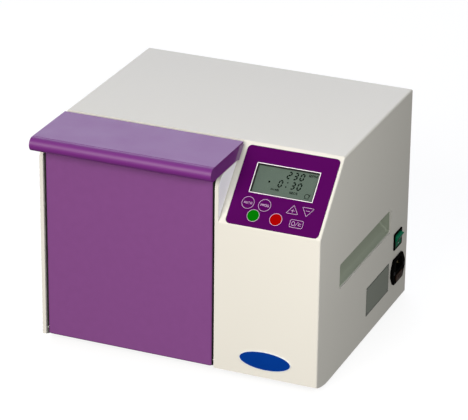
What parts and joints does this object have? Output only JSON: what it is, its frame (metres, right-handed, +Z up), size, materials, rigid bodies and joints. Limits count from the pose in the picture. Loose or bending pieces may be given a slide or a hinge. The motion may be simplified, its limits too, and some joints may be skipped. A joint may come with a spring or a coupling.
{
  "type": "paddle blender homogenizer",
  "caption": "Bench paddle blender: box casing with sloped control deck, drop-down front door with lip handle, two coupled paddles, crank drive, hand recesses, switch and mains inlet.",
  "frame": {"origin": "bottom centre of the bounding box, on the bench", "axes": "+X to the right seen from the front, +Y to the back, +Z up; the door faces -Y"},
  "size_m": [0.406, 0.376, 0.309],
  "materials": {
    "badge_blue": "gloss",
    "belt_rubber": "matte",
    "black_plastic": "satin",
    "board_green": "satin",
    "brass_pin": "polished",
    "bush_bronze": "satin",
    "cast_alloy": "cast",
    "clear_window": "clear",
    "cream_paint": "satin",
    "cup_grey": "satin",
    "display_face": "satin",
    "drawer_brown": "satin",
    "foot_rubber": "matte",
    "key_film": "satin",
    "key_green": "satin",
    "key_red": "satin",
    "motor_shell": "painted",
    "pad_rubber": "matte",
    "panel_film": "satin",
    "plate_grey": "satin",
    "pulley_alloy": "turned",
    "purple_door": "satin",
    "purple_handle": "satin",
    "rocker_green": "gloss",
    "seal_rubber": "matte",
    "stainless": "brushed",
    "steel": "satin",
    "zinc_plate": "satin"
  },
  "bodies": {
    "machine": {"casing": "cream_paint", "base_plate": "zinc_plate", "feet": "foot_rubber", "back_panel": "cream_paint", "chamber_tray": "stainless", "hinge_pins": "steel", "latch_keepers": "steel", "rod_bushes": "bush_bronze", "rod_seals": "seal_rubber", "drive_frame": "cast_alloy", "bearing_stands": "cast_alloy", "rod_guides": "cast_alloy", "shaft_bearings": "steel", "belt": "belt_rubber", "motor": "motor_shell", "motor_bracket": "zinc_plate", "control_panel": "panel_film", "display_window": "clear_window", "display_module": "display_face", "control_board": "board_green", "power_board": "board_green", "hand_cup_right": "cup_grey", "hand_cup_left": "cup_grey", "switch_bezel": "black_plastic", "mains_inlet": "black_plastic", "inlet_pins": "brass_pin", "rating_plate": "plate_grey", "badge": "badge_blue"},
    "door": {"door_shell": "purple_door", "door_plate": "stainless", "door_pad": "pad_rubber", "door_seal": "seal_rubber", "handle_arms": "steel"},
    "handle": {"handle_shell": "purple_handle", "handle_pins": "steel", "latch_tongues": "steel"},
    "left_paddle": {"paddle_left": "stainless", "yoke_rod_left": "steel"},
    "right_paddle": {"paddle_right": "stainless", "yoke_rod_right": "steel"},
    "crank": {"crankshaft": "steel", "driven_pulley": "pulley_alloy"},
    "motor_rotor": {"motor_shaft": "steel", "motor_pulley": "pulley_alloy"},
    "rocker": {"switch_rocker": "rocker_green"},
    "fuse_holder": {"fuse_drawer": "drawer_brown"},
    "key_mode_cap": {"key_mode": "key_film"},
    "key_program_cap": {"key_program": "key_film"},
    "key_start_cap": {"key_start": "key_green"},
    "key_stop_cap": {"key_stop": "key_red"},
    "key_up_cap": {"key_up": "key_film"},
    "key_down_cap": {"key_down": "key_film"},
    "key_set_cap": {"key_set": "key_film"}
  },
  "joints": [
    {"name": "door_open", "type": "hinge", "parent": "machine", "child": "door", "pos_m": [0, -0.152, 0.02], "axis": [1, 0, 0], "range_deg": [0, 78]},
    {"name": "handle_lift", "type": "hinge", "parent": "door", "child": "handle", "pos_m": [0, -0.085, 0.2996], "axis": [-1, 0, 0], "range_deg": [0, 10], "stiffness_Nm_per_rad": 0.6, "springref_deg": -17.19},
    {"name": "left_paddle_slide", "type": "slide", "parent": "machine", "child": "left_paddle", "axis": [0, 1, 0], "range_m": [-0.007, 0.007]},
    {"name": "right_paddle_slide", "type": "slide", "parent": "machine", "child": "right_paddle", "axis": [0, 1, 0], "range_m": [-0.007, 0.007]},
    {"name": "crank_spin", "type": "hinge", "parent": "machine", "child": "crank", "pos_m": [0, 0.011, 0.138], "axis": [1, 0, 0], "continuous": true},
    {"name": "motor_spin", "type": "hinge", "parent": "machine", "child": "motor_rotor", "pos_m": [0, 0.126, 0.07], "axis": [1, 0, 0], "continuous": true},
    {"name": "rocker_tilt", "type": "hinge", "parent": "machine", "child": "rocker", "pos_m": [0.193, 0.1458, 0.101], "axis": [0, -1, 0], "range_deg": [0, 28]},
    {"name": "fuse_pull", "type": "slide", "parent": "machine", "child": "fuse_holder", "axis": [1, 0, 0], "range_m": [0, 0.015]},
    {"name": "key_mode_press", "type": "slide", "parent": "machine", "child": "key_mode_cap", "axis": [0, 0.705, -0.7092], "range_m": [0, 0.0004], "stiffness_N_per_m": 1500, "springref_m": -0.0002},
    {"name": "key_program_press", "type": "slide", "parent": "machine", "child": "key_program_cap", "axis": [0, 0.705, -0.7092], "range_m": [0, 0.0004], "stiffness_N_per_m": 1500, "springref_m": -0.0002},
    {"name": "key_start_press", "type": "slide", "parent": "machine", "child": "key_start_cap", "axis": [0, 0.705, -0.7092], "range_m": [0, 0.0004], "stiffness_N_per_m": 1500, "springref_m": -0.0002},
    {"name": "key_stop_press", "type": "slide", "parent": "machine", "child": "key_stop_cap", "axis": [0, 0.705, -0.7092], "range_m": [0, 0.0004], "stiffness_N_per_m": 1500, "springref_m": -0.0002},
    {"name": "key_up_press", "type": "slide", "parent": "machine", "child": "key_up_cap", "axis": [0, 0.705, -0.7092], "range_m": [0, 0.0004], "stiffness_N_per_m": 1500, "springref_m": -0.0002},
    {"name": "key_down_press", "type": "slide", "parent": "machine", "child": "key_down_cap", "axis": [0, 0.705, -0.7092], "range_m": [0, 0.0004], "stiffness_N_per_m": 1500, "springref_m": -0.0002},
    {"name": "key_set_press", "type": "slide", "parent": "machine", "child": "key_set_cap", "axis": [0, 0.705, -0.7092], "range_m": [0, 0.0004], "stiffness_N_per_m": 1500, "springref_m": -0.0002}
  ],
  "couplings": [
    {"joint": "right_paddle_slide", "follows": "left_paddle_slide", "ratio": -1},
    {"joint": "motor_spin", "follows": "crank_spin", "ratio": 2.8125}
  ]
}
